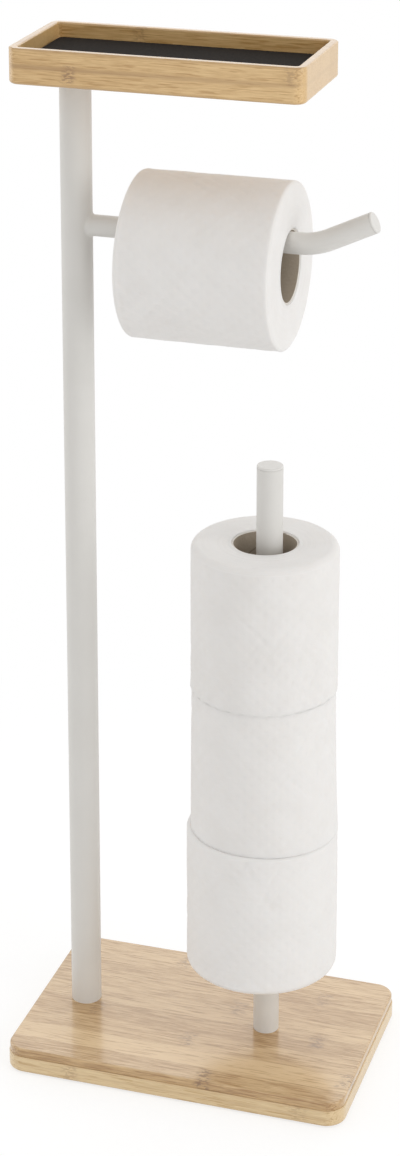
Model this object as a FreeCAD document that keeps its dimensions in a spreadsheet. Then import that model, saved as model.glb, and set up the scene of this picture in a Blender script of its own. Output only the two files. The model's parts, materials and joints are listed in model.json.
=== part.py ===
import FreeCAD, Part
import math
import os
import re
import Sketcher

# Free-standing toilet roll holder: a bamboo foot, a tall pole that carries a bamboo tray and a roll arm,
# and a short post that stores spare rolls. Millimetres, +Z up, +X from the pole to the arm's free end,
# origin on the floor below the middle of the foot.

doc = FreeCAD.newDocument("RollHolder")
sheet = doc.addObject("Spreadsheet::Sheet", "dims")
lookup = doc.addObject("Spreadsheet::Sheet", "lookup")

sizes = {
    # foot: two boards on four pads
    "base_length": 218,
    "base_depth": 142,
    "base_corner_radius": 12.5,
    "lower_board_thickness": 10.5,
    "upper_board_thickness": 5.5,
    "board_inset": 0.5,
    "seam_chamfer": 0.45,
    "top_edge_radius": 1.3,
    "bottom_edge_radius": 1.5,
    "pad_radius": 9,
    "pad_thickness": 2,
    "pad_recess": 1,
    "pad_edge_distance": 20,
    "pad_chamfer": 0.4,
    # pole
    "pole_radius": 9.5,
    "pole_wall": 1.2,
    "pole_edge_distance": 30,
    # storage post
    "post_radius": 8,
    "post_wall": 1.2,
    "post_spacing": 120.3,
    "post_free_length": 48.1,
    # roll arm
    "arm_radius": 6.5,
    "arm_wall": 1.2,
    "arm_drop": 92,
    "arm_run_out": 5.3,
    "arm_bend_radius": 42,
    "arm_bend_angle": 25.5,
    "arm_end_length": 28,
    "weld_radius": 2,
    # tray
    "tray_length": 177.5,
    "tray_depth": 80,
    "tray_height": 21.5,
    "tray_overhang": 27.8,
    "tray_wall": 5,
    "tray_corner_radius": 7,
    "tray_pocket_depth": 10.5,
    "tray_floor_radius": 1.5,
    "tray_rim_radius": 1,
    "tray_bottom_radius": 2,
    "mat_thickness": 2,
    "mat_corner_radius": 3,
    "mat_clearance": 0.3,
    # tube ends
    "cap_rim": 1.5,
    "cap_edge_radius": 0.8,
    "cap_seam": 0.3,
    "cap_plug_length": 10,
    "insert_length": 22,
    # bolts and washers
    "bolt_radius": 3,
    "bolt_head_radius": 5.25,
    "bolt_head_height": 3.4,
    "bolt_head_edge": 1.2,
    "bolt_socket_radius": 2.3,
    "bolt_socket_depth": 2,
    "base_bolt_length": 30,
    "tray_screw_length": 22,
    "washer_radius": 7,
    "washer_thickness": 1.2,
    "base_counterbore_depth": 6.5,
    "tray_counterbore_depth": 5,
    # rest for the stored rolls
    "rest_height": 48.7,
    "rest_radius": 32,
    "rest_thickness": 2.5,
    "rest_edge_radius": 0.8,
    "rest_hub_radius": 12,
    "rest_hub_height": 8,
    # paper rolls
    "roll_length": 93.6,
    "hanging_rim_radius": 2.2,
    "stored_rim_radius": 4.2,
    "stacked_rim_radius": 1.5,
    "roll_bore_edge": 0.8,
    "hanging_bore_radius": 21.3,
    "stored_bore_radius": 19.2,
    "core_wall": 1.1,
    "core_inset": 0.8,
    "hanging_roll_radius": 50.5,
    "hanging_roll_distance": 38.6,
    "bottom_roll_radius": 47.2,
    "middle_roll_radius": 44.8,
    "top_roll_radius": 45.3,
    "bottom_roll_shift": 3.2,
    "middle_roll_shift": 3,
    "top_roll_shift": 2.7,
    "lift_room": 74,
    # fits
    "plug_clearance": 0.1,
    "hole_clearance": 0.4,
    "roll_clearance": 0.3,
    "cut_overrun": 1,
}

for row, (name, value) in enumerate(sizes.items(), start=1):
    sheet.set(f"A{row}", name)
    sheet.set(f"B{row}", str(value))
    sheet.setAlias(f"B{row}", name)
doc.recompute()

stored_rolls = ("bottom", "middle", "top")

# Places worked out from the sizes, as expressions in the sheet's names. The stored rolls set the post's length,
# the room to lift one sets the arm's height above the foot, and the arm sets the pole's length.
base_bottom = "(pad_thickness - pad_recess)"
base_top = f"({base_bottom} + lower_board_thickness + upper_board_thickness)"
pole_x = "(pole_edge_distance - base_length / 2)"
post_x = f"({pole_x} + post_spacing)"
stack_length = f"({len(stored_rolls)} * (roll_length + roll_clearance))"
post_length = f"(rest_height + {stack_length} + post_free_length)"
hang_depth = "(hanging_bore_radius - arm_radius - roll_clearance)"
arm_height = f"({post_length} + cap_rim + lift_room + hanging_roll_radius + {hang_depth})"
arm_reach = "(hanging_roll_distance + roll_length + arm_run_out)"
pole_length = f"({arm_height} + arm_drop)"
arm_z = f"({base_top} + {arm_height})"
tray_x = f"({pole_x} - tray_overhang + tray_length / 2)"
tray_z = f"({base_top} + {pole_length})"
tray_floor = "(tray_height - tray_pocket_depth)"
rest_z = f"({base_top} + rest_height)"
hole_radius = "(bolt_radius + hole_clearance)"
counterbore_radius = "(washer_radius + hole_clearance)"

tolerance = 1e-4
full_turn = 360
half_turn = 180
right_angle = 90
socket_sides = 6
lookup_cell = "A1"
nodes = []


def formula(text):
    """The text with each name of the sheet written as a reference to its cell."""
    return re.sub(r"[a-z_]+", lambda word: "dims." + word[0] if word[0] in sizes else word[0], text)


def amount(text):
    """The present value of an expression, worked out in a cell of a sheet that nothing else reads."""
    lookup.set(lookup_cell, "=" + formula(text))
    lookup.recompute()
    return float(lookup.get(lookup_cell))


def body(label, x="0", y="0", z="0", axis=(0, 0, 1), angle="0"):
    """A named piece, placed and turned by expressions."""
    item = doc.addObject("PartDesign::Body", label)
    item.Label = label
    item.Placement = FreeCAD.Placement(FreeCAD.Vector(), FreeCAD.Rotation(FreeCAD.Vector(*axis), right_angle))
    item.setExpression("Placement.Rotation.Angle", formula(angle))
    for key, text in zip("xyz", (x, y, z)):
        item.setExpression(f"Placement.Base.{key}", formula(text))
    nodes.append(item)
    return item


def sketch(owner, name, role="XY_Plane", **offsets):
    """A sketch on one of the piece's own origin planes, moved in that plane's axes by expressions."""
    plane = next(item for item in owner.Origin.OriginFeatures if item.Role == role)
    item = owner.newObject("Sketcher::SketchObject", name)
    item.AttachmentSupport = [(plane, "")]
    item.MapMode = "FlatFace"
    for key, text in offsets.items():
        item.setExpression(f"AttachmentOffset.Base.{key}", formula(text))
    return item


def dimension(item, name, kind, places, text):
    """A named sketch dimension that follows an expression."""
    index = item.addConstraint(Sketcher.Constraint(kind, *places, amount(text)))
    item.renameConstraint(index, name)
    item.setExpression(f"Constraints.{name}", formula(text))


def polyline(item, points):
    """A closed chain of lines through the points."""
    for start, end in zip(points, points[1:] + points[:1]):
        item.addGeometry(Part.LineSegment(start, end), False)
    for side in range(len(points)):
        item.addConstraint(Sketcher.Constraint("Coincident", side, 2, (side + 1) % len(points), 1))


def circles(item, *radii):
    """Circles about the sketch's origin."""
    for text in radii:
        circle = Part.Circle(FreeCAD.Vector(), FreeCAD.Vector(0, 0, 1), amount(text))
        index = item.addGeometry(circle, False)
        item.addConstraint(Sketcher.Constraint("Coincident", index, 3, -1, 1))
        dimension(item, f"radius_{index}", "Radius", (index,), text)


def rectangle(item, length, depth):
    """A rectangle about the sketch's origin."""
    x = amount(length) / 2
    y = amount(depth) / 2
    polyline(item, [FreeCAD.Vector(*point) for point in ((-x, -y), (x, -y), (x, y), (-x, y))])
    for side in (0, 2):
        item.addConstraint(Sketcher.Constraint("Horizontal", side))
        item.addConstraint(Sketcher.Constraint("Vertical", side + 1))
    item.addConstraint(Sketcher.Constraint("Symmetric", 0, 1, 2, 1, -1, 1))
    dimension(item, "length", "DistanceX", (0, 1, 0, 2), length)
    dimension(item, "depth", "DistanceY", (1, 1, 1, 2), depth)


def profile(item, corners):
    """A half section: corners as pairs of expressions, distance from the axis and height."""
    polyline(item, [FreeCAD.Vector(amount(across), amount(up)) for across, up in corners])
    for index, (across, up) in enumerate(corners):
        if across == "0":
            item.addConstraint(Sketcher.Constraint("PointOnObject", index, 1, -2))
        else:
            dimension(item, f"across_{index}", "DistanceX", (-1, 1, index, 1), across)
        if up == "0":
            item.addConstraint(Sketcher.Constraint("PointOnObject", index, 1, -1))
        else:
            dimension(item, f"up_{index}", "DistanceY", (-1, 1, index, 1), up)


def pad(owner, base, length):
    """The sketch drawn out along its normal."""
    item = owner.newObject("PartDesign::Pad", base.Name + "Pad")
    item.Profile = base
    item.setExpression("Length", formula(length))
    doc.recompute()
    return item


def cut(owner, base, length, upward=False):
    """The sketch sunk into the piece; the volume shows that it met the solid."""
    doc.recompute()
    before = owner.Shape.Volume
    item = owner.newObject("PartDesign::Pocket", base.Name + "Cut")
    item.Profile = base
    item.Reversed = upward
    item.setExpression("Length", formula(length))
    doc.recompute()
    if not item.Shape.Volume < before:
        raise RuntimeError(f"{item.Name} cuts nothing")
    return item


def revolve(owner, base):
    """The half section turned about the piece's own Z axis."""
    item = owner.newObject("PartDesign::Revolution", base.Name + "Turn")
    item.Profile = base
    item.ReferenceAxis = (base, ["V_Axis"])
    item.Angle = full_turn
    doc.recompute()
    return item


def edge_names(shape, test):
    """The names of the edges that pass a test."""
    return [f"Edge{number}" for number, edge in enumerate(shape.Edges, start=1) if test(edge)]


def upright(edge):
    ends = [vertex.Point for vertex in edge.Vertexes]
    if len(ends) < 2:
        return False
    span = ends[1] - ends[0]
    return math.hypot(span.x, span.y) < tolerance < abs(span.z)


def level_at(height):
    return lambda edge: all(abs(vertex.Point.z - height) < tolerance for vertex in edge.Vertexes)


def ring_of(radius):
    """A test for full circles of a radius about the piece's Z axis."""
    def test(edge):
        point = edge.Vertexes[0].Point
        return len(edge.Vertexes) == 1 and abs(math.hypot(point.x, point.y) - radius) < tolerance
    return test


def highest(shape):
    return max(vertex.Point.z for vertex in shape.Vertexes)


def lowest(shape):
    return min(vertex.Point.z for vertex in shape.Vertexes)


def round_over(owner, base, name, radius, test):
    item = owner.newObject("PartDesign::Fillet", name)
    item.Base = (base, edge_names(base.Shape, test))
    item.setExpression("Radius", formula(radius))
    doc.recompute()
    return item


def bevel(owner, base, name, size, test):
    item = owner.newObject("PartDesign::Chamfer", name)
    item.Base = (base, edge_names(base.Shape, test))
    item.setExpression("Size", formula(size))
    doc.recompute()
    return item


def block(owner, name, length, depth, thickness, corner):
    """A board with rounded corners, standing on the piece's XY plane."""
    outline = sketch(owner, name)
    rectangle(outline, length, depth)
    solid = pad(owner, outline, thickness)
    return round_over(owner, solid, name + "Corners", corner, upright)


def tube(label, x, z, radius, wall, length):
    """An upright tube."""
    item = body(label, x, z=z)
    ring = sketch(item, label + "_ring")
    circles(ring, radius, f"{radius} - {wall}")
    pad(item, ring, length)
    return item


def turned(label, corners, x="0", y="0", z="0", axis=(0, 0, 1), angle="0"):
    """A round piece turned from a half section."""
    item = body(label, x, y, z, axis, angle)
    section = sketch(item, label + "_section", "XZ_Plane")
    profile(section, corners)
    return item, revolve(item, section)


def bolt(label, length, x, z, down=False):
    """A button-head bolt with a hexagon socket; its head bears on the plane at z, shank away from it."""
    corners = [
        ("0", "0"),
        ("bolt_head_radius", "0"),
        ("bolt_head_radius", "bolt_head_height"),
        ("bolt_radius", "bolt_head_height"),
        ("bolt_radius", f"bolt_head_height + {length}"),
        ("0", f"bolt_head_height + {length}"),
    ]
    sign = "+" if down else "-"
    angle = str(half_turn) if down else "0"
    item, solid = turned(label, corners, x, z=f"{z} {sign} bolt_head_height", axis=(1, 0, 0), angle=angle)
    solid = round_over(item, solid, label + "_dome", "bolt_head_edge", level_at(lowest(solid.Shape)))
    socket = sketch(item, label + "_socket")
    radius = amount("bolt_socket_radius")
    turns = [math.tau * side / socket_sides for side in range(socket_sides)]
    polyline(socket, [FreeCAD.Vector(radius * math.cos(turn), radius * math.sin(turn)) for turn in turns])
    guide = socket.addGeometry(Part.Circle(FreeCAD.Vector(), FreeCAD.Vector(0, 0, 1), radius), True)
    socket.addConstraint(Sketcher.Constraint("Coincident", guide, 3, -1, 1))
    for side in range(socket_sides):
        socket.addConstraint(Sketcher.Constraint("PointOnObject", side, 1, guide))
    for side in range(1, socket_sides):
        socket.addConstraint(Sketcher.Constraint("Equal", 0, side))
    socket.addConstraint(Sketcher.Constraint("PointOnObject", 0, 1, -1))
    dimension(socket, "reach", "Radius", (guide,), "bolt_socket_radius")
    cut(item, socket, "bolt_socket_depth", upward=True)


def washer(label, x, z):
    item = body(label, x, z=z)
    ring = sketch(item, label + "_ring")
    circles(ring, "washer_radius", hole_radius)
    pad(item, ring, "washer_thickness")


def insert(label, x, z, bore):
    """A threaded plug fixed in a tube's end, drawn with a plain bore."""
    item = body(label, x, z=z)
    ring = sketch(item, label + "_ring")
    circles(ring, f"{bore} - plug_clearance", "bolt_radius + plug_clearance")
    pad(item, ring, "insert_length")


def cap(label, radius, wall, x, z, axis=(0, 0, 1), angle="0"):
    """A plug with a rim that closes a tube's free end; a small bevel marks the seam on the tube."""
    stem = f"{radius} - {wall} - plug_clearance"
    corners = [
        ("0", "0"),
        (stem, "0"),
        (stem, "cap_plug_length"),
        (radius, "cap_plug_length"),
        (radius, "cap_plug_length + cap_rim"),
        ("0", "cap_plug_length + cap_rim"),
    ]
    item, solid = turned(label, corners, x, z=z, axis=axis, angle=angle)
    solid = round_over(item, solid, label + "_edge", "cap_edge_radius", level_at(highest(solid.Shape)))
    around = ring_of(amount(radius))
    at_seam = level_at(amount("cap_plug_length"))
    bevel(item, solid, label + "_seam", "cap_seam", lambda edge: around(edge) and at_seam(edge))


def lower_board():
    item = body("base_lower_board", z=base_bottom)
    solid = block(item, "LowerBoard", "base_length", "base_depth", "lower_board_thickness", "base_corner_radius")
    solid = bevel(item, solid, "LowerSeam", "seam_chamfer", level_at(highest(solid.Shape)))
    round_over(item, solid, "LowerEdge", "bottom_edge_radius", level_at(lowest(solid.Shape)))
    for name, x in (("Pole", pole_x), ("Post", post_x)):
        hole = sketch(item, name + "LowerHole", x=x, z="-cut_overrun")
        circles(hole, hole_radius)
        cut(item, hole, "lower_board_thickness + 2 * cut_overrun", upward=True)
        recess = sketch(item, name + "Counterbore", x=x, z="-cut_overrun")
        circles(recess, counterbore_radius)
        cut(item, recess, "base_counterbore_depth + cut_overrun", upward=True)
    for name, x, y in pad_places:
        seat = sketch(item, "Seat_" + name, x=x, y=y, z="-cut_overrun")
        circles(seat, "pad_radius + hole_clearance")
        cut(item, seat, "pad_recess + cut_overrun", upward=True)


def upper_board():
    item = body("base_upper_board", z=f"{base_bottom} + lower_board_thickness")
    length = "base_length - 2 * board_inset"
    depth = "base_depth - 2 * board_inset"
    solid = block(item, "UpperBoard", length, depth, "upper_board_thickness", "base_corner_radius - board_inset")
    solid = bevel(item, solid, "UpperSeam", "seam_chamfer", level_at(lowest(solid.Shape)))
    round_over(item, solid, "UpperEdge", "top_edge_radius", level_at(highest(solid.Shape)))
    for name, x in (("Pole", pole_x), ("Post", post_x)):
        hole = sketch(item, name + "UpperHole", x=x, z="-cut_overrun")
        circles(hole, hole_radius)
        cut(item, hole, "upper_board_thickness + 2 * cut_overrun", upward=True)


def foot_pad(name, x, y):
    item = body("foot_pad_" + name, x, y)
    disc = sketch(item, "Pad_" + name)
    circles(disc, "pad_radius")
    solid = pad(item, disc, "pad_thickness")
    bevel(item, solid, "PadEdge_" + name, "pad_chamfer", level_at(lowest(solid.Shape)))


def tray():
    """A thick board with a routed pocket; the screw's counterbore lies under the mat."""
    item = body("tray", tray_x, z=tray_z)
    solid = block(item, "TrayBlock", "tray_length", "tray_depth", "tray_height", "tray_corner_radius")
    solid = round_over(item, solid, "TrayBottom", "tray_bottom_radius", level_at(lowest(solid.Shape)))
    mouth = sketch(item, "TrayPocket", z="tray_height")
    rectangle(mouth, "tray_length - 2 * tray_wall", "tray_depth - 2 * tray_wall")
    solid = cut(item, mouth, "tray_pocket_depth")
    depth = amount("tray_pocket_depth")
    inside = "tray_corner_radius - tray_wall"
    solid = round_over(item, solid, "TrayInside", inside,
                       lambda edge: upright(edge) and abs(edge.Length - depth) < tolerance)
    solid = round_over(item, solid, "TrayFloor", "tray_floor_radius", level_at(amount(tray_floor)))
    solid = round_over(item, solid, "TrayRim", "tray_rim_radius", level_at(highest(solid.Shape)))
    across = f"{pole_x} - {tray_x}"
    hole = sketch(item, "TrayHole", x=across, z="-cut_overrun")
    circles(hole, hole_radius)
    cut(item, hole, f"{tray_floor} + 2 * cut_overrun", upward=True)
    recess = sketch(item, "TrayCounterbore", x=across, z=f"{tray_floor} - tray_counterbore_depth")
    circles(recess, counterbore_radius)
    cut(item, recess, "tray_counterbore_depth + cut_overrun", upward=True)


def tray_mat():
    inset = "(tray_wall + tray_floor_radius + mat_clearance)"
    item = body("tray_mat", tray_x, z=f"{tray_z} + {tray_floor}")
    block(item, "Mat", f"tray_length - 2 * {inset}", f"tray_depth - 2 * {inset}", "mat_thickness",
          "mat_corner_radius")


def arm():
    """A bent tube whose end is coped round the pole, with a weld fillet where the two meet."""
    item = body("arm", pole_x, z=arm_z)
    route = sketch(item, "ArmRoute", "XZ_Plane")
    reach = amount(arm_reach)
    bend = amount("arm_bend_radius")
    angle = math.radians(amount("arm_bend_angle"))
    start = FreeCAD.Vector(reach + bend * math.sin(angle), bend - bend * math.cos(angle))
    end = start + FreeCAD.Vector(math.cos(angle), math.sin(angle)) * amount("arm_end_length")
    circle = Part.Circle(FreeCAD.Vector(reach, bend), FreeCAD.Vector(0, 0, 1), bend)
    quarter = math.pi / 2
    route.addGeometry(Part.LineSegment(FreeCAD.Vector(), FreeCAD.Vector(reach, 0)), False)
    route.addGeometry(Part.ArcOfCircle(circle, -quarter, angle - quarter), False)
    route.addGeometry(Part.LineSegment(start, end), False)
    route.addConstraint(Sketcher.Constraint("Coincident", 0, 1, -1, 1))
    route.addConstraint(Sketcher.Constraint("Horizontal", 0))
    route.addConstraint(Sketcher.Constraint("Tangent", 0, 2, 1, 1))
    route.addConstraint(Sketcher.Constraint("Tangent", 1, 2, 2, 1))
    dimension(route, "reach", "DistanceX", (0, 1, 0, 2), arm_reach)
    dimension(route, "bend", "Radius", (1,), "arm_bend_radius")
    dimension(route, "end", "Distance", (2,), "arm_end_length")
    turn = route.addConstraint(Sketcher.Constraint("Angle", 2, angle))
    route.renameConstraint(turn, "rise")
    route.setExpression("Constraints.rise", formula("arm_bend_angle * 1 deg"))
    ring = sketch(item, "ArmRing", "YZ_Plane")
    circles(ring, "arm_radius", "arm_radius - arm_wall")
    doc.recompute()
    pipe = item.newObject("PartDesign::AdditivePipe", "ArmTube")
    pipe.Profile = ring
    pipe.Spine = (route, ["Edge1", "Edge2", "Edge3"])
    doc.recompute()
    span = "2 * (arm_radius + weld_radius + cut_overrun)"
    core = sketch(item, "PoleCore", z="-arm_radius - weld_radius - cut_overrun")
    circles(core, "pole_radius")
    solid = pad(item, core, span)
    pole_radius = amount("pole_radius")
    arm_radius = amount("arm_radius")

    def at_weld(edge):
        middle = edge.valueAt((edge.FirstParameter + edge.LastParameter) / 2)
        points = [vertex.Point for vertex in edge.Vertexes] + [middle]
        on_pole = all(abs(math.hypot(point.x, point.y) - pole_radius) < tolerance for point in points)
        on_arm = all(abs(math.hypot(point.y, point.z) - arm_radius) < tolerance for point in points)
        return on_pole and on_arm

    round_over(item, solid, "ArmWeld", "weld_radius", at_weld)
    cope = sketch(item, "ArmCope", z="-arm_radius - weld_radius - cut_overrun")
    circles(cope, "pole_radius")
    cut(item, cope, span, upward=True)


def roll_rest():
    """A disc with a hub below it, fixed on the post."""
    bore = "post_radius + plug_clearance"
    corners = [
        (bore, "0"),
        ("rest_hub_radius", "0"),
        ("rest_hub_radius", "rest_hub_height"),
        ("rest_radius", "rest_hub_height"),
        ("rest_radius", "rest_hub_height + rest_thickness"),
        (bore, "rest_hub_height + rest_thickness"),
    ]
    item, solid = turned("roll_rest", corners, post_x, z=f"{rest_z} - rest_thickness - rest_hub_height")
    round_over(item, solid, "RestEdge", "rest_edge_radius", ring_of(amount("rest_radius")))


def roll(name, radius, bore, rims, x, z, axis=(0, 0, 1), angle="0"):
    """A paper roll, soft at its two rims, wound on a cardboard core; it stands on z or lies along X from x."""
    core = f"({bore} + core_wall)"
    mouth = f"{core} + plug_clearance"
    corners = [(mouth, "0"), (radius, "0"), (radius, "roll_length"), (mouth, "roll_length")]
    item, solid = turned(f"{name}_roll_paper", corners, x, z=z, axis=axis, angle=angle)
    around = ring_of(amount(radius))
    for end, level, rim in zip(("Foot", "Head"), (lowest, highest), rims):
        at_end = level_at(level(solid.Shape))
        solid = round_over(item, solid, name + end, rim, lambda edge: around(edge) and at_end(edge))
    round_over(item, solid, name + "Mouths", "roll_bore_edge", ring_of(amount(mouth)))
    along = "x" if axis[1] else "z"
    start = {"x": x, "z": z}
    start[along] = f"{start[along]} + core_inset"
    item = body(f"{name}_roll_core", start["x"], z=start["z"], axis=axis, angle=angle)
    ring = sketch(item, name + "Core")
    circles(ring, core, bore)
    pad(item, ring, "roll_length - 2 * core_inset")


pad_x = "(base_length / 2 - pad_edge_distance)"
pad_y = "(base_depth / 2 - pad_edge_distance)"
pad_places = [
    ("front_left", f"-{pad_x}", f"-{pad_y}"),
    ("front_right", pad_x, f"-{pad_y}"),
    ("back_left", f"-{pad_x}", pad_y),
    ("back_right", pad_x, pad_y),
]

lower_board()
upper_board()
for place in pad_places:
    foot_pad(*place)

washer_z = f"({base_bottom} + base_counterbore_depth - washer_thickness)"
tube("pole", pole_x, base_top, "pole_radius", "pole_wall", pole_length)
insert("pole_foot_insert", pole_x, base_top, "pole_radius - pole_wall")
washer("pole_washer", pole_x, washer_z)
bolt("pole_bolt", "base_bolt_length", pole_x, washer_z)
insert("pole_head_insert", pole_x, f"{tray_z} - insert_length", "pole_radius - pole_wall")

tray()
tray_mat()
tray_seat = f"({tray_z} + {tray_floor} - tray_counterbore_depth)"
washer("tray_washer", pole_x, tray_seat)
bolt("tray_screw", "tray_screw_length", pole_x, f"{tray_seat} + washer_thickness", down=True)

arm()
bend_x = "arm_bend_radius * sin(arm_bend_angle)"
bend_z = "arm_bend_radius * (1 - cos(arm_bend_angle))"
plug_start = "(arm_end_length - cap_plug_length)"
cap("arm_cap", "arm_radius", "arm_wall",
    f"{pole_x} + {arm_reach} + {bend_x} + {plug_start} * cos(arm_bend_angle)",
    f"{arm_z} + {bend_z} + {plug_start} * sin(arm_bend_angle)",
    (0, 1, 0), f"{right_angle} - arm_bend_angle")

tube("post", post_x, base_top, "post_radius", "post_wall", post_length)
insert("post_foot_insert", post_x, base_top, "post_radius - post_wall")
washer("post_washer", post_x, washer_z)
bolt("post_bolt", "base_bolt_length", post_x, washer_z)
cap("post_cap", "post_radius", "post_wall", post_x, f"{base_top} + {post_length} - cap_plug_length")
roll_rest()

# The hanging roll's core rests on top of the arm; the stored rolls stand on the rest, one on another.
hanging_rims = ("hanging_rim_radius", "hanging_rim_radius")
roll("hanging", "hanging_roll_radius", "hanging_bore_radius", hanging_rims,
     f"{pole_x} + hanging_roll_distance", f"{arm_z} - {hang_depth}", (0, 1, 0), str(right_angle))
for level, name in enumerate(stored_rolls):
    foot_rim = "stacked_rim_radius" if level else "stored_rim_radius"
    head_rim = "stored_rim_radius" if name == stored_rolls[-1] else "stacked_rim_radius"
    roll(name, f"{name}_roll_radius", "stored_bore_radius", (foot_rim, head_rim),
         f"{post_x} - {name}_roll_shift",
         f"{rest_z} + roll_clearance + {level} * (roll_length + roll_clearance)")

doc.recompute()
failed = [item.Name for item in doc.Objects if {"Invalid", "Error"} & set(item.State)]
failed += [item.Label for item in nodes if item.Shape.isNull() or not item.Shape.isValid()]
if failed:
    raise RuntimeError("failed: " + ", ".join(failed))
os.makedirs("parts", exist_ok=True)
for item in nodes:
    item.Shape.exportStep(f"parts/{item.Label}.step")
print(len(nodes), "pieces written")
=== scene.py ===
import json
import math

import bmesh
import bpy
from mathutils import Matrix, Vector, noise


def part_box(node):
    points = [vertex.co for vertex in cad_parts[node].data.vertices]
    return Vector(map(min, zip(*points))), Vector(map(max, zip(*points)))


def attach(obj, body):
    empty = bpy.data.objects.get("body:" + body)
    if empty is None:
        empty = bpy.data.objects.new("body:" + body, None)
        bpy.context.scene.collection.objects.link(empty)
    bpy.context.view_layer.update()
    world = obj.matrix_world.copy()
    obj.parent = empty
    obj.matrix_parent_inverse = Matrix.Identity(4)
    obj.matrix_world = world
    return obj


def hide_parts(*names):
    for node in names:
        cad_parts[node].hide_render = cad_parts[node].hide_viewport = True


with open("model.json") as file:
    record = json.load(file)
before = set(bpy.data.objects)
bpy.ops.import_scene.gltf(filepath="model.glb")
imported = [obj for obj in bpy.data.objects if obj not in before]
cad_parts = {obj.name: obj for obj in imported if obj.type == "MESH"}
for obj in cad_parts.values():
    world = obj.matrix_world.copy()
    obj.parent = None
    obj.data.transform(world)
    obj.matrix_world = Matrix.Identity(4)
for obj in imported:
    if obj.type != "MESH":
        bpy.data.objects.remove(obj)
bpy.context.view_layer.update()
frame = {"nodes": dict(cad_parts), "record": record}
nodes = frame["nodes"]
print("frame loaded:", len(nodes), "nodes")


# helpers that keep the shader trees short
def setInput(tree, socket, value):
    if isinstance(value, bpy.types.NodeSocket):
        tree.links.new(value, socket)
    else:
        socket.default_value = value


def addNode(tree, kind, inputs=None, **settings):
    item = tree.nodes.new("ShaderNode" + kind)
    for key, value in settings.items():
        setattr(item, key, value)
    for key, value in (inputs or {}).items():
        setInput(tree, item.inputs[key], value)
    return item


def calc(tree, operation, *values, clamp=False):
    inputs = dict(enumerate(values))
    return addNode(tree, "Math", inputs, operation=operation, use_clamp=clamp).outputs[0]


def joinXyz(tree, x, y, z):
    return addNode(tree, "CombineXYZ", {0: x, 1: y, 2: z}).outputs[0]


def stretch(tree, x, y, z, alongScale, crossScale):
    scaled = [calc(tree, "MULTIPLY", x, alongScale)]
    scaled += [calc(tree, "MULTIPLY", side, crossScale) for side in (y, z)]
    return joinXyz(tree, *scaled)


def ramp(tree, value, low, high, toLow=0.0, toHigh=1.0):
    inputs = {"Value": value, "From Min": low, "From Max": high, "To Min": toLow, "To Max": toHigh}
    return addNode(tree, "MapRange", inputs, interpolation_type="SMOOTHSTEP").outputs[0]


def blendColour(tree, amount, first, second, mode="MIX"):
    inputs = {0: amount, 6: first, 7: second}   # the mix node's factor and its two colours
    return addNode(tree, "Mix", inputs, data_type="RGBA", blend_type=mode, clamp_factor=True).outputs[2]


def grain(tree, vector, detail=3.0, roughness=0.55, scale=1.0):
    inputs = {"Vector": vector, "Scale": scale, "Detail": detail, "Roughness": roughness}
    return addNode(tree, "TexNoise", inputs).outputs[0]


def newFinish(name, **sockets):
    finish = bpy.data.materials.new(name)
    finish.use_nodes = True
    tree = finish.node_tree
    tree.nodes.clear()
    shader = addNode(tree, "BsdfPrincipled")
    output = addNode(tree, "OutputMaterial")
    tree.links.new(shader.outputs[0], output.inputs[0])
    for key, value in sockets.items():
        shader.inputs[key.replace("_", " ")].default_value = value
    return finish, tree, shader


def setBump(tree, shader, height, distance, strength):
    inputs = {"Height": height, "Distance": distance, "Strength": strength}
    tree.links.new(addNode(tree, "Bump", inputs).outputs[0], shader.inputs["Normal"])


def objectXyz(tree):
    place = addNode(tree, "TexCoord").outputs["Object"]
    parts = addNode(tree, "SeparateXYZ", {0: place}).outputs
    return place, parts[0], parts[1], parts[2]


# bamboo: strips along X glued side by side, each with its own tone and cane knuckles (x, y, z, strength)
footTop = {
    "name": "bambooFootTop", "seed": 3.0,
    "stripWidth": 0.0175, "stripStart": 0.0380, "firstStrip": -2,
    "stripTones": (0.60, 0.10, 0.44, 0.58, 0.36, 0.52, 0.66, 0.40, 0.55), "toneSpread": 0.10,
    "layerHeight": 0.0070, "layerStart": 0.0112,
    "sideGlue": 0.16, "layerGlue": 0.0, "glueReach": 0.0015,
    "pale": (0.745, 0.530, 0.285, 1), "dark": (0.405, 0.225, 0.075, 1),
    "knuckle": (0.200, 0.095, 0.040, 1), "glue": (0.300, 0.160, 0.060, 1),
    # paintedSideShade is painted shade: it darkens the sideways faces and round-overs of the upper board
    "paintedSideShade": (0.90, 0.84, 0.70, 1), "coat": 1.0, "coatRoughness": 0.17,
    "knuckleSize": (0.0068, 0.0085, 0.0200),
    "knuckles": (
        (0.0207, -0.0650, 0.014, 0.85), (0.0190, 0.0150, 0.014, 0.55), (-0.0010, -0.0285, 0.014, 0.55),
        (0.0779, -0.0070, 0.014, 0.70), (0.0680, 0.0400, 0.014, 0.50), (0.1060, -0.0440, 0.014, 0.75),
        (-0.0670, -0.0110, 0.014, 0.50), (-0.0300, 0.0580, 0.014, 0.60), (-0.0900, 0.0230, 0.014, 0.50),
    ),
}
footLow = {
    "name": "bambooFootLow", "seed": 8.0,
    "stripWidth": 0.0190, "stripStart": 0.0020, "firstStrip": -4,
    "stripTones": (0.30, 0.45, 0.55, 0.40, 0.62, 0.35, 0.50, 0.34), "toneSpread": 0.28,
    "layerHeight": 0.0049, "layerStart": 0.0016,
    "sideGlue": 0.08, "layerGlue": 0.22, "glueReach": 0.0015,
    "pale": (0.815, 0.625, 0.360, 1), "dark": (0.560, 0.365, 0.155, 1),
    "knuckle": (0.290, 0.155, 0.070, 1), "glue": (0.420, 0.250, 0.110, 1),
    "paintedSideShade": (1.0, 1.0, 1.0, 1), "coat": 0.7, "coatRoughness": 0.25,
    "knuckleSize": (0.0075, 0.0100, 0.0060),
    "knuckles": (
        (-0.0650, -0.0700, 0.006, 0.45), (0.0820, -0.0700, 0.008, 0.35), (0.0300, 0.0700, 0.006, 0.50),
    ),
}
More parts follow.
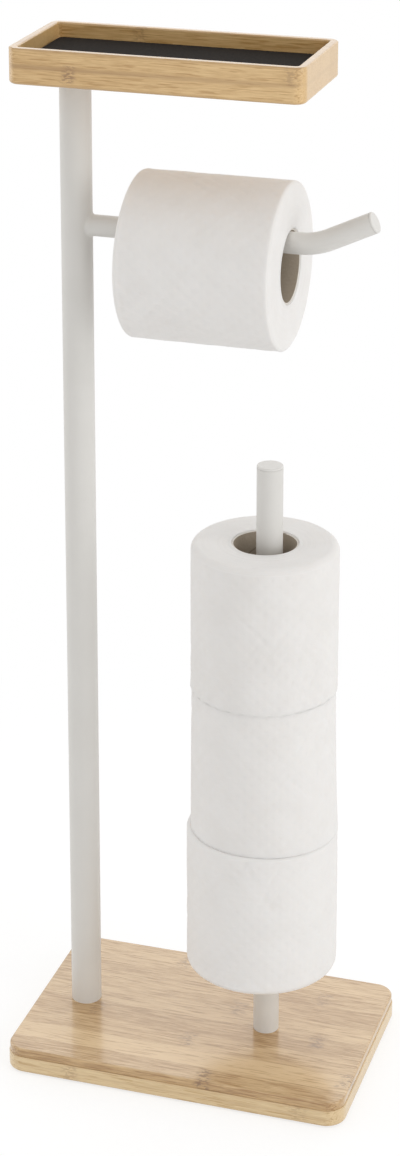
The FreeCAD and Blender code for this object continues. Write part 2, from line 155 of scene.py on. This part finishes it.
trayWood = {
    "name": "bambooTray", "seed": 14.0,
    "stripWidth": 0.0200, "stripStart": 0.0450, "firstStrip": 0,
    "stripTones": (0.42, 0.55, 0.35, 0.60, 0.40), "toneSpread": 0.22,
    "layerHeight": 0.0108, "layerStart": 0.6282,
    "sideGlue": 0.06, "layerGlue": 0.66, "glueReach": 0.0024,
    "pale": (0.805, 0.548, 0.250, 1), "dark": (0.510, 0.290, 0.088, 1),
    "knuckle": (0.260, 0.130, 0.050, 1), "glue": (0.420, 0.240, 0.085, 1),
    "paintedSideShade": (1.0, 1.0, 1.0, 1), "coat": 0.8, "coatRoughness": 0.20,
    "knuckleSize": (0.0062, 0.0100, 0.0058),
    "knuckles": (
        (-0.0683, -0.0400, 0.6362, 0.85), (0.0640, -0.0400, 0.6440, 0.45),
        (0.0100, 0.0400, 0.6350, 0.70), (-0.0500, 0.0400, 0.6450, 0.50),
    ),
}
# noise scales along and across the cane, then detail and roughness; a tone is (factor, offset)
fibreLook = {
    "fineScale": (62.0, 1150.0), "fineDetail": (3.0, 0.66), "fineTone": (2.4, -1.26),
    "bandScale": (15.0, 380.0), "bandDetail": (3.0, 0.5), "bandTone": (0.8, -0.40),
    "cloudScale": (9.0, 34.0), "cloudDetail": (2.0, 0.5), "cloudTone": (0.8, -0.42),
    "threadScale": (48.0, 900.0), "threadDetail": (2.0, 0.5),
    "threadRange": (0.55, 0.64), "threadTone": 0.60,
    "swayScale": (1.0, 190.0), "swayReach": 0.010,
    "swirlScale": (280.0, 800.0), "swirlDetail": (3.0, 0.6),
    "swirlRange": (0.45, 0.57), "swirlTone": (0.80, 0.08),
    "knuckleFade": (0.25, 0.8, 0.75), "calmTone": (1.0, 0.42),
    "sideSeam": (0.00045, 0.00008), "layerSeam": 0.0002, "layerWave": 0.10,
    "glueCloud": (1.2, 0.2), "glueEnds": (0.3, 0.8, 1.0, 0.25),
    # edge is the range of upward facing over which sideways faces take the painted side shade
    "endGrain": (0.6, 0.9, 0.0, 0.65), "endTone": 0.25, "edge": (0.35, 0.9, 1.0, 0.0),
    "roughness": (0.16, 0.38), "coatIor": 1.65, "knuckleDip": -0.35, "bump": (0.00008, 0.45),
}


def bambooFinish(look, fibre):
    finish, tree, shader = newFinish(look["name"], Coat_Weight=look["coat"], Coat_IOR=fibre["coatIor"],
                                     Coat_Roughness=look["coatRoughness"])
    x, y, z = objectXyz(tree)[1:]
    facing = addNode(tree, "SeparateXYZ", {0: addNode(tree, "TexCoord").outputs["Normal"]}).outputs
    endwise, upward = [calc(tree, "ABSOLUTE", facing[axis]) for axis in (0, 2)]
    across = calc(tree, "DIVIDE", calc(tree, "ADD", y, look["stripStart"]), look["stripWidth"])
    level = calc(tree, "DIVIDE", calc(tree, "SUBTRACT", z, look["layerStart"]), look["layerHeight"])
    strip = calc(tree, "FLOOR", across)
    key = joinXyz(tree, strip, calc(tree, "FLOOR", level), look["seed"])
    dice = addNode(tree, "TexWhiteNoise", {"Vector": key}, noise_dimensions="3D").outputs["Color"]
    chance = addNode(tree, "SeparateColor", {0: dice}).outputs
    along = calc(tree, "ADD", x, chance[0])
    # fine fibres, broader bands, slow clouds and a few dark threads
    fine, band, cloud, thread = [
        grain(tree, stretch(tree, along, y, z, *fibre[kind + "Scale"]), *fibre[kind + "Detail"])
        for kind in ("fine", "band", "cloud", "thread")
    ]
    thread = ramp(tree, thread, *fibre["threadRange"])
    # knuckles, the joints of the cane: short swirled marks that keep to one strip
    sway = calc(tree, "SUBTRACT", grain(tree, stretch(tree, chance[1], y, z, *fibre["swayScale"])), 0.5)
    bent = joinXyz(tree, calc(tree, "MULTIPLY_ADD", sway, fibre["swayReach"], x), y, z)
    swirl = grain(tree, stretch(tree, x, y, z, *fibre["swirlScale"]), *fibre["swirlDetail"])
    swirl = calc(tree, "MULTIPLY_ADD", ramp(tree, swirl, *fibre["swirlRange"]), *fibre["swirlTone"])
    mark = 0.0
    for *spot, strength in look["knuckles"]:
        away = addNode(tree, "VectorMath", {0: bent, 1: spot}, operation="SUBTRACT").outputs[0]
        away = addNode(tree, "VectorMath", {0: away}, operation="ABSOLUTE").outputs[0]
        sides = addNode(tree, "SeparateXYZ", {0: away}).outputs
        inside = strength
        for side, size, fade in zip(sides, look["knuckleSize"], fibre["knuckleFade"]):
            inside = calc(tree, "MULTIPLY", ramp(tree, side, size, size * fade), inside)
        mark = calc(tree, "MAXIMUM", mark, inside)
    mark = calc(tree, "MULTIPLY", mark, swirl, clamp=True)
    # glue lines between strips and between layers
    seamY = calc(tree, "MULTIPLY", calc(tree, "PINGPONG", across, 0.5), look["stripWidth"])
    waved = calc(tree, "MULTIPLY_ADD", calc(tree, "SUBTRACT", band, 0.5), fibre["layerWave"], level)
    seamZ = calc(tree, "MULTIPLY", calc(tree, "PINGPONG", waved, 0.5), look["layerHeight"])
    glueY = calc(tree, "MULTIPLY", ramp(tree, seamY, *fibre["sideSeam"]), look["sideGlue"])
    glueZ = ramp(tree, seamZ, look["glueReach"], fibre["layerSeam"])
    glueZ = calc(tree, "MULTIPLY", glueZ, look["layerGlue"])
    glueZ = calc(tree, "MULTIPLY", glueZ, calc(tree, "MULTIPLY_ADD", cloud, *fibre["glueCloud"]))
    glueZ = calc(tree, "MULTIPLY", glueZ, ramp(tree, endwise, *fibre["glueEnds"]))
    glue = calc(tree, "MAXIMUM", glueY, glueZ, clamp=True)
    # tone of each strip from its list, then the fibres over it; end grain keeps a calmer face
    count = len(look["stripTones"])
    listPlace = calc(tree, "DIVIDE", calc(tree, "SUBTRACT", strip, look["firstStrip"] - 0.5), float(count))
    toneList = addNode(tree, "ValToRGB", {0: listPlace})
    steps = toneList.color_ramp
    steps.interpolation = "CONSTANT"
    while len(steps.elements) < count:
        steps.elements.new(1.0)
    for i, value in enumerate(look["stripTones"]):
        steps.elements[i].position = i / count
        steps.elements[i].color = (value, value, value, 1)
    stripTone = toneList.outputs[0]
    tone = calc(tree, "MULTIPLY_ADD", calc(tree, "SUBTRACT", chance[2], 0.5), look["toneSpread"], stripTone)
    fibres = calc(tree, "ADD", calc(tree, "MULTIPLY_ADD", band, *fibre["bandTone"]),
                  calc(tree, "MULTIPLY_ADD", fine, *fibre["fineTone"]))
    calm = calc(tree, "MULTIPLY_ADD", stripTone, *fibre["calmTone"])   # pale strips show less of their fibres
    tone = calc(tree, "MULTIPLY_ADD", fibres, calm, tone)
    tone = calc(tree, "ADD", tone, calc(tree, "MULTIPLY_ADD", cloud, *fibre["cloudTone"]))
    tone = calc(tree, "MULTIPLY_ADD", thread, fibre["threadTone"], tone, clamp=True)
    endGrain = ramp(tree, endwise, *fibre["endGrain"])
    tone = calc(tree, "ADD", calc(tree, "MULTIPLY", tone, calc(tree, "SUBTRACT", 1.0, endGrain)),
                calc(tree, "MULTIPLY", endGrain, fibre["endTone"]))
    colour = blendColour(tree, tone, look["pale"], look["dark"])
    colour = blendColour(tree, mark, colour, look["knuckle"])
    colour = blendColour(tree, glue, colour, look["glue"])
    # painted shade: faces turned away from up, the board sides and round-overs, are multiplied darker by
    # paintedSideShade
    colour = blendColour(tree, ramp(tree, upward, *fibre["edge"]), colour, look["paintedSideShade"], "MULTIPLY")
    tree.links.new(colour, shader.inputs["Base Color"])
    tree.links.new(calc(tree, "MULTIPLY_ADD", fine, *fibre["roughness"]), shader.inputs["Roughness"])
    height = calc(tree, "SUBTRACT", calc(tree, "MULTIPLY_ADD", mark, fibre["knuckleDip"], fine), glue)
    setBump(tree, shader, height, *fibre["bump"])
    return finish


# powder coat on the tubes and the moulded caps
tubeCoat = {
    "name": "powderCoat", "colour": (0.740, 0.728, 0.700, 1), "shade": (0.760, 0.748, 0.722, 1),
    "pebble": (2.0, 0.5, 1900.0), "drift": (3.0, 0.5, 28.0), "driftRange": (0.3, 0.7),
    "roughness": (0.16, 0.42), "bump": (0.00006, 0.5),
}
capCoat = tubeCoat | {
    "name": "capPlastic", "colour": (0.765, 0.753, 0.728, 1), "shade": (0.785, 0.773, 0.748, 1),
    "roughness": (0.16, 0.40),
}


def coatFinish(look):
    finish, tree, shader = newFinish(look["name"])
    place = objectXyz(tree)[0]
    pebble = grain(tree, place, *look["pebble"])
    drift = ramp(tree, grain(tree, place, *look["drift"]), *look["driftRange"])
    tree.links.new(blendColour(tree, drift, look["colour"], look["shade"]), shader.inputs["Base Color"])
    tree.links.new(calc(tree, "MULTIPLY_ADD", pebble, *look["roughness"]), shader.inputs["Roughness"])
    setBump(tree, shader, pebble, *look["bump"])
    return finish


# zinc on the fasteners
zincLook = {
    "dull": (0.62, 0.63, 0.65, 1), "bright": (0.78, 0.78, 0.77, 1), "spangle": (3.0, 0.6, 420.0),
    "roughness": (0.2, 0.25), "bump": (0.00004, 0.4),
}


def zincFinish(look):
    finish, tree, shader = newFinish("zincPlate", Metallic=1.0)
    spangle = grain(tree, objectXyz(tree)[0], *look["spangle"])
    tree.links.new(blendColour(tree, spangle, look["dull"], look["bright"]), shader.inputs["Base Color"])
    tree.links.new(calc(tree, "MULTIPLY_ADD", spangle, *look["roughness"]), shader.inputs["Roughness"])
    setBump(tree, shader, spangle, *look["bump"])
    return finish


# rubber of the pads and the tray's mat
padRubber = {
    "name": "padRubber", "pale": (0.06, 0.06, 0.06, 1), "dark": (0.035, 0.035, 0.036, 1),
    "crumb": (4.0, 0.6, 900.0), "range": (0.3, 0.7), "roughness": (0.15, 0.65), "specular": 0.4,
    "bump": (0.0002, 0.8),
}
matRubber = {
    "name": "trayMat", "pale": (0.034, 0.029, 0.025, 1), "dark": (0.014, 0.012, 0.011, 1),
    "crumb": (4.0, 0.6, 1500.0), "range": (0.3, 0.7), "roughness": (0.15, 0.82), "specular": 0.12,
    "bump": (0.0003, 0.8),
}


def rubberFinish(look):
    finish, tree, shader = newFinish(look["name"], Specular_IOR_Level=look["specular"])
    crumb = grain(tree, objectXyz(tree)[0], *look["crumb"])
    tone = ramp(tree, crumb, *look["range"])
    tree.links.new(blendColour(tree, tone, look["dark"], look["pale"]), shader.inputs["Base Color"])
    tree.links.new(calc(tree, "MULTIPLY_ADD", crumb, *look["roughness"]), shader.inputs["Roughness"])
    setBump(tree, shader, crumb, *look["bump"])
    return finish


# tissue: wound layers show on the ends, soft fibre everywhere, and light passes a little way in
tissueLook = {
    "dim": (0.846, 0.828, 0.810, 1), "bright": (0.894, 0.880, 0.868, 1), "toneRange": (0.25, 0.75),
    "layerScale": 2600.0, "layerDetail": 3.0, "layerRelief": 0.7,
    "fibre": (4.0, 0.65, 900.0), "cloud": (2.0, 0.5, 60.0), "bump": (0.00018, 0.5),
}


def paperFinish(look):
    finish, tree, shader = newFinish(
        "tissuePaper", Roughness=0.95, Specular_IOR_Level=0.15, Sheen_Weight=0.12, Sheen_Roughness=0.6,
        Subsurface_Weight=0.35, Subsurface_Scale=0.004, Subsurface_Radius=(1.0, 0.95, 0.9))
    place = objectXyz(tree)[0]
    wind = addNode(tree, "Attribute", attribute_name="windRadius").outputs["Fac"]
    turns = calc(tree, "MULTIPLY", wind, look["layerScale"])
    inputs = {"W": turns, "Scale": 1.0, "Detail": look["layerDetail"]}
    layer = addNode(tree, "TexNoise", inputs, noise_dimensions="1D").outputs[0]
    fibre = grain(tree, place, *look["fibre"])
    cloud = grain(tree, place, *look["cloud"])
    tone = calc(tree, "ADD", calc(tree, "MULTIPLY", layer, 0.5), calc(tree, "MULTIPLY", cloud, 0.5))
    colour = blendColour(tree, ramp(tree, tone, *look["toneRange"]), look["dim"], look["bright"])
    tree.links.new(colour, shader.inputs["Base Color"])
    setBump(tree, shader, calc(tree, "MULTIPLY_ADD", layer, look["layerRelief"], fibre), *look["bump"])
    return finish


# core board: grey-brown ply wound in a spiral, paler where it is cut
boardLook = {
    "pitch": 0.072, "seamRange": (0.012, 0.003), "seamShare": 0.5, "seamColour": (0.20, 0.16, 0.12, 1),
    "fibre": (4.0, 0.65, 700.0), "fleck": (2.0, 0.6, 1500.0), "fleckRange": (0.62, 0.72), "fleckShare": 0.3,
    "fleckColour": (0.62, 0.56, 0.47, 1), "bump": (0.0002, 0.6),
}


def boardFinish(name, tones, around, look):
    finish, tree, shader = newFinish(name, Roughness=0.9, Specular_IOR_Level=0.2)
    pale, dark = tones
    centre, turn = around
    place = addNode(tree, "TexCoord").outputs["Object"]
    shifted = addNode(tree, "Mapping", {"Vector": place, "Location": centre}).outputs[0]
    local = addNode(tree, "Mapping", {"Vector": shifted, "Rotation": turn}).outputs[0]
    parts = addNode(tree, "SeparateXYZ", {0: local}).outputs
    angle = calc(tree, "DIVIDE", calc(tree, "ARCTAN2", parts[1], parts[0]), 2 * math.pi)
    helix = calc(tree, "ADD", angle, calc(tree, "DIVIDE", parts[2], look["pitch"]))
    seam = ramp(tree, calc(tree, "PINGPONG", helix, 0.5), *look["seamRange"])   # butt joint of the ply
    fibre = grain(tree, place, *look["fibre"])
    fleck = ramp(tree, grain(tree, place, *look["fleck"]), *look["fleckRange"])
    colour = blendColour(tree, fibre, dark, pale)
    colour = blendColour(tree, calc(tree, "MULTIPLY", fleck, look["fleckShare"]), colour, look["fleckColour"])
    colour = blendColour(tree, calc(tree, "MULTIPLY", seam, look["seamShare"]), colour, look["seamColour"])
    tree.links.new(colour, shader.inputs["Base Color"])
    setBump(tree, shader, calc(tree, "SUBTRACT", fibre, seam), *look["bump"])
    return finish


finishes = {
    "footTop": bambooFinish(footTop, fibreLook),
    "footLow": bambooFinish(footLow, fibreLook),
    "tray": bambooFinish(trayWood, fibreLook),
    "coat": coatFinish(tubeCoat),
    "cap": coatFinish(capCoat),
    "zinc": zincFinish(zincLook),
    "rubber": rubberFinish(padRubber),
    "mat": rubberFinish(matRubber),
    "paper": paperFinish(tissueLook),
}
slotFinish = {   # the rolls, paper and core, are replaced further down
    "bamboo_tray": "tray", "coated_steel": "coat", "cap_plastic": "cap", "zinc_steel": "zinc",
    "rubber": "rubber", "mat": "mat", "paper": "paper", "cardboard": "paper",
}
nodeFinish = {"base_upper_board": "footTop", "base_lower_board": "footLow"}
for row in frame["record"]["subparts"]:
    key = nodeFinish.get(row["node"]) or slotFinish[row["material_slot"]]
    solid = nodes[row["node"]]
    solid.data.materials.clear()
    solid.data.materials.append(finishes[key])
print("finishes made:", len(finishes))


# a half section with rounded corners, cut into rows and turned full circle about Z
def spinSection(corners, rims, rowStep, columns):
    bm = bmesh.new()
    verts = [bm.verts.new((r, 0.0, z)) for r, z in corners]
    bm.faces.new(verts)
    for vert, (rim, segments) in zip(verts, rims):
        bmesh.ops.bevel(bm, geom=[vert], offset=rim, affect="VERTICES", segments=segments, profile=0.5,
                        material=-1)
    bmesh.ops.delete(bm, geom=bm.faces[:], context="FACES_ONLY")
    for edge in bm.edges[:]:
        cuts = int(edge.calc_length() / rowStep)
        if cuts:
            bmesh.ops.subdivide_edges(bm, edges=[edge], cuts=cuts)
    bmesh.ops.spin(bm, geom=bm.verts[:] + bm.edges[:], cent=(0, 0, 0), axis=(0, 0, 1), angle=2 * math.pi,
                   steps=columns, use_merge=True)
    bmesh.ops.remove_doubles(bm, verts=bm.verts, dist=1e-6)
    bmesh.ops.recalc_face_normals(bm, faces=bm.faces)
    return bm


def addPiece(bm, name, place, materials):
    bmesh.ops.transform(bm, matrix=place, verts=bm.verts)
    mesh = bpy.data.meshes.new(name)
    bm.to_mesh(mesh)
    bm.free()
    mesh.shade_smooth()
    for finish in materials:
        mesh.materials.append(finish)
    piece = bpy.data.objects.new(name, mesh)
    bpy.context.collection.objects.link(piece)
    return piece


# paper rolls: soft windings, a last sheet that ends at the back, faint pressed dots and slanting creases
rollLook = {
    "rowStep": 0.0011, "columns": 264, "rimSegments": 7, "mouth": (0.0006, 2), "coreGap": 0.0001,
    "stillShare": 0.06, "sideShare": 0.9, "faceShare": 0.97,
    "layerStep": 0.00030, "endsAt": 0.75, "slack": 0.00045, "slackScale": 22.0,
    "dish": 0.0009, "ringDepth": 0.00016, "ringWaves": (47.0, 17.0),
    "dotGap": 0.0088, "dotReach": 0.0022, "dotDepth": 0.00030,
    "patchScale": 19.0, "patchShare": 0.15,
    "crease": 0.00075, "creaseScale": 105.0, "creaseStretch": 0.2, "creaseSharpness": 3.0,
    "creaseLeans": (0.75, -0.55), "seedStep": 3.7,
}


def creaseDepth(around, up, seed, spot, look):
    patch = max(0.0, noise.noise(spot * look["patchScale"]) + look["patchShare"])
    depth = 0.0
    for lean in look["creaseLeans"]:   # two families of slanting folds
        line = Vector((around * math.cos(lean) + up * math.sin(lean),
                       (up * math.cos(lean) - around * math.sin(lean)) * look["creaseStretch"], seed + lean))
        fold = 1.0 - abs(noise.noise(line * look["creaseScale"])) * look["creaseSharpness"]
        depth += look["crease"] * patch * max(0.0, fold) ** 2
    return depth


def dotDepth(around, up, look):
    rowGap = look["dotGap"] * 0.5
    row = round(up / rowGap)
    aside = (around / look["dotGap"] - 0.5 * (row % 2)) % 1.0   # every other row is shifted by half a gap
    aside = min(aside, 1.0 - aside) * look["dotGap"]
    near = math.hypot(aside, up - row * rowGap) / look["dotReach"]
    return look["dotDepth"] * (1.0 - near * near) ** 2 if near < 1.0 else 0.0


def makeRoll(name, radius, bore, length, shape, seed, look, place):
    lowRim, highRim = shape["rims"]
    corners = ((bore, 0.0), (radius, 0.0), (radius, length), (bore, length))
    rims = [look["mouth"], (lowRim, look["rimSegments"]), (highRim, look["rimSegments"]), look["mouth"]]
    bm = spinSection(corners, rims, look["rowStep"], look["columns"])
    wind = bm.verts.layers.float.new("windRadius")
    girth = 2 * math.pi * radius
    firstWave, secondWave = look["ringWaves"]
    for v in bm.verts:
        r = math.hypot(v.co.x, v.co.y)
        v[wind] = r
        out = (r - bore) / (radius - bore)   # 0 at the bore, 1 at the outside
        if out < look["stillShare"]:
            continue
        turn = (math.atan2(v.co.y, v.co.x) / (2 * math.pi) + look["endsAt"]) % 1.0
        spot = Vector(v.co) + Vector((seed, 0, 0))
        push = -look["layerStep"] * turn * out   # one turn of the last sheet, ending in a step
        push -= look["slack"] * out * (0.5 + 0.5 * noise.noise(spot * look["slackScale"]))
        spread = (1.0 - v.co.z / length) ** 2 * max(0.0, v.co.x / r)   # most at the foot, towards +X
        push += shape["flare"] * out * spread
        if lowRim < v.co.z < length - highRim and out > look["sideShare"]:
            push -= creaseDepth(turn * girth, v.co.z, seed, spot, look)
            push -= dotDepth(turn * girth, v.co.z, look)
        elif out < look["faceShare"]:   # layers on the ends stand a little proud or shy of one another
            wave = abs(math.sin(out * firstWave + seed) * math.sin(out * secondWave + 2.0 * seed))
            sink = look["ringDepth"] * wave + look["dish"] * max(0.0, look["sideShare"] - out) ** 2
            v.co.z += sink if v.co.z < length / 2 else -sink
        scale = (r + push) / r
        v.co.x *= scale
        v.co.y *= scale
    return addPiece(bm, name, place, [finishes["paper"]])


coreLook = {
    "wall": 0.0011, "edge": (0.0003, 2), "rowStep": 0.012, "columns": 128, "endFacing": 0.3,
    "cutEnd": ((0.83, 0.80, 0.75, 1), (0.74, 0.70, 0.64, 1)),
    "ply": ((0.47, 0.405, 0.325, 1), (0.36, 0.30, 0.235, 1)),
}
storedLow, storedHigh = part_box("bottom_roll_core")
hangingLow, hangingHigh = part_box("hanging_roll_core")
coreAxes = {   # the shift and the turn that bring a core's axis onto Z
    "Stored": ((-(storedLow.x + storedHigh.x) / 2, 0.0, 0.0), (0.0, 0.0, 0.0)),
    "Hanging": ((0.0, 0.0, -(hangingLow.z + hangingHigh.z) / 2), (0.0, -math.pi / 2, 0.0)),
}
coreBoards = {
    kind: [boardFinish("coreBoard" + kind, coreLook["ply"], around, boardLook),
           boardFinish("coreEnd" + kind, coreLook["cutEnd"], around, boardLook)]
    for kind, around in coreAxes.items()
}


def makeCore(name, bore, low, high, look, materials, place):
    outer = bore + look["wall"]
    corners = ((bore, low), (outer, low), (outer, high), (bore, high))
    bm = spinSection(corners, (look["edge"],) * 4, look["rowStep"], look["columns"])
    for face in bm.faces:
        face.material_index = 1 if abs(face.normal.z) > look["endFacing"] else 0   # cut ends are paler
    return addPiece(bm, name, place, materials)


rollShapes = {   # soft radius and settling of the foot and the head of each roll
    "hanging": {"rims": (0.0024, 0.0024), "settle": (0.0, 0.0), "flare": 0.0},
    "bottom": {"rims": (0.0046, 0.0022), "settle": (0.0, 0.00014), "flare": 0.0},
    "middle": {"rims": (0.0002, 0.0003), "settle": (0.00014, 0.00014), "flare": 0.0022},
    "top": {"rims": (0.0003, 0.0046), "settle": (0.00014, 0.0), "flare": 0.0},
}
for number, (name, shape) in enumerate(rollShapes.items(), start=1):
    low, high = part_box(name + "_roll_paper")
    coreLow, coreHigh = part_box(name + "_roll_core")
    middle = (low + high) / 2
    if name == "hanging":
        length, radius, coreRadius = high.x - low.x, (high.z - low.z) / 2, (coreHigh.z - coreLow.z) / 2
        place = Matrix.Translation((low.x, middle.y, middle.z)) @ Matrix.Rotation(math.pi / 2, 4, "Y")
        ends = coreLow.x - low.x, coreHigh.x - low.x
        boards = coreBoards["Hanging"]
    else:
        length, radius, coreRadius = high.z - low.z, (high.x - low.x) / 2, (coreHigh.x - coreLow.x) / 2
        place = Matrix.Translation((middle.x, middle.y, low.z))
        ends = coreLow.z - low.z, coreHigh.z - low.z
        boards = coreBoards["Stored"]
    foot, head = shape["settle"]   # stacked rolls press together
    sunk = place @ Matrix.Translation((0, 0, -foot))
    paper = makeRoll(name + "RollPaper", radius, coreRadius + rollLook["coreGap"], foot + length + head,
                     shape, number * rollLook["seedStep"], rollLook, sunk)
    core = makeCore(name + "RollCore", coreRadius - coreLook["wall"], *ends, coreLook, boards, place)
    for piece, node, slot in ((paper, "_roll_paper", "paper"), (core, "_roll_core", "cardboard")):
        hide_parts(name + node)
        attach(piece, name + "_roll")
    print(name, "roll made:", len(paper.data.polygons), "faces")


# pale floor that keeps a soft shadow close to the foot and runs out to white
stageLook = {
    "floor": 8.0, "cells": 8, "albedo": 0.86, "lift": 0.28,
    "shadowReach": 0.20, "shadowEnd": 0.55, "shadowShare": 0.4,
}


def cameraSees(tree):
    path = addNode(tree, "LightPath").outputs
    seen = calc(tree, "ADD", path["Is Camera Ray"], path["Is Transmission Ray"], clamp=True)
    return calc(tree, "ADD", seen, path["Is Glossy Ray"], clamp=True)


def makeFloor(look):
    bm = bmesh.new()
    bmesh.ops.create_grid(bm, x_segments=look["cells"], y_segments=look["cells"], size=look["floor"])
    mesh = bpy.data.meshes.new("paleFloor")
    bm.to_mesh(mesh)
    bm.free()
    floor = bpy.data.objects.new("paleFloor", mesh)
    bpy.context.collection.objects.link(floor)
    finish = bpy.data.materials.new("paleFloor")
    finish.use_nodes = True
    tree = finish.node_tree
    tree.nodes.clear()
    x, y = objectXyz(tree)[1:3]
    squares = [calc(tree, "MULTIPLY", side, side) for side in (x, y)]
    distance = calc(tree, "SQRT", calc(tree, "ADD", *squares))
    share = ramp(tree, distance, look["shadowReach"], look["shadowEnd"], look["shadowShare"], 0.0)
    matte = addNode(tree, "BsdfDiffuse", {"Color": (look["albedo"],) * 3 + (1,)}).outputs[0]
    white = addNode(tree, "Emission", {"Color": (1, 1, 1, 1), "Strength": 1.0}).outputs[0]
    lift = addNode(tree, "Emission", {"Color": (1, 1, 1, 1), "Strength": look["lift"]}).outputs[0]
    lifted = addNode(tree, "AddShader", {0: matte, 1: lift}).outputs[0]
    shown = addNode(tree, "MixShader", {0: share, 1: white, 2: lifted}).outputs[0]
    mixed = addNode(tree, "MixShader", {0: cameraSees(tree), 1: matte, 2: shown}).outputs[0]
    tree.links.new(mixed, addNode(tree, "OutputMaterial").inputs[0])
    mesh.materials.append(finish)


skyLook = {"fill": (1.0, 0.99, 0.975, 1), "fillStrength": 0.715}


def makeSky(look):
    world = bpy.data.worlds.new("studioSky")
    bpy.context.scene.world = world
    world.use_nodes = True
    tree = world.node_tree
    tree.nodes.clear()
    fill = addNode(tree, "Background", {"Color": look["fill"], "Strength": look["fillStrength"]}).outputs[0]
    white = addNode(tree, "Background", {"Color": (1, 1, 1, 1), "Strength": 1.0}).outputs[0]
    mixed = addNode(tree, "MixShader", {0: cameraSees(tree), 1: fill, 2: white}).outputs[0]
    tree.links.new(mixed, addNode(tree, "OutputWorld").inputs[0])


# soft panels: one from the right, a weaker one from the left, a wide one behind that washes the lacquer,
# and a low one in front that lights the tubes under the rolls
lamps = [
    {"name": "rightPanel", "place": (1.95, -0.55, 0.95), "aim": (0.0, 0.0, 0.35), "size": (1.4, 1.6),
     "power": 11.0, "colour": (1.0, 1.0, 0.995)},
    {"name": "leftPanel", "place": (-1.95, 0.10, 0.75), "aim": (0.0, 0.0, 0.35), "size": (1.4, 1.6),
     "power": 6.0, "colour": (1.0, 0.995, 0.98)},
    {"name": "backPanel", "place": (0.0, 2.30, 1.45), "aim": (0.0, 0.0, 0.3), "size": (3.2, 1.7),
     "power": 10.0, "colour": (1.0, 0.995, 0.985)},
    {"name": "lowPanel", "place": (0.30, -2.10, 0.22), "aim": (0.0, 0.0, 0.05), "size": (2.4, 0.4),
     "power": 1.2, "colour": (0.985, 0.995, 1.0)},
]


def makeLamp(look):
    light = bpy.data.lights.new(look["name"], "AREA")
    light.shape = "RECTANGLE"
    light.size, light.size_y = look["size"]
    light.energy = look["power"]
    light.color = look["colour"]
    lamp = bpy.data.objects.new(look["name"], light)
    bpy.context.collection.objects.link(lamp)
    lamp.location = look["place"]
    lamp.rotation_euler = (Vector(look["aim"]) - Vector(look["place"])).to_track_quat("-Z", "Y").to_euler()
    lamp.visible_camera = False


cameraLook = {
    "place": (0.4696, -1.5051, 1.0023), "azimuth": 17.413, "down": 16.40, "sensor": 36.0, "lens": 87.48,
    "shiftY": -0.30, "farEnd": 50.0,
}


def makeCamera(look):
    data = bpy.data.cameras.new("viewCamera")
    data.sensor_width = look["sensor"]
    data.sensor_fit = "AUTO"
    data.lens = look["lens"]
    data.shift_y = look["shiftY"]
    data.clip_end = look["farEnd"]
    camera = bpy.data.objects.new("viewCamera", data)
    bpy.context.collection.objects.link(camera)
    camera.location = look["place"]
    camera.rotation_euler = (math.radians(90.0 - look["down"]), 0.0, math.radians(look["azimuth"]))
    bpy.context.scene.camera = camera


makeFloor(stageLook)
makeSky(skyLook)
for lamp in lamps:
    makeLamp(lamp)
makeCamera(cameraLook)
bpy.context.scene.view_settings.view_transform = "Standard"
print("stage set")
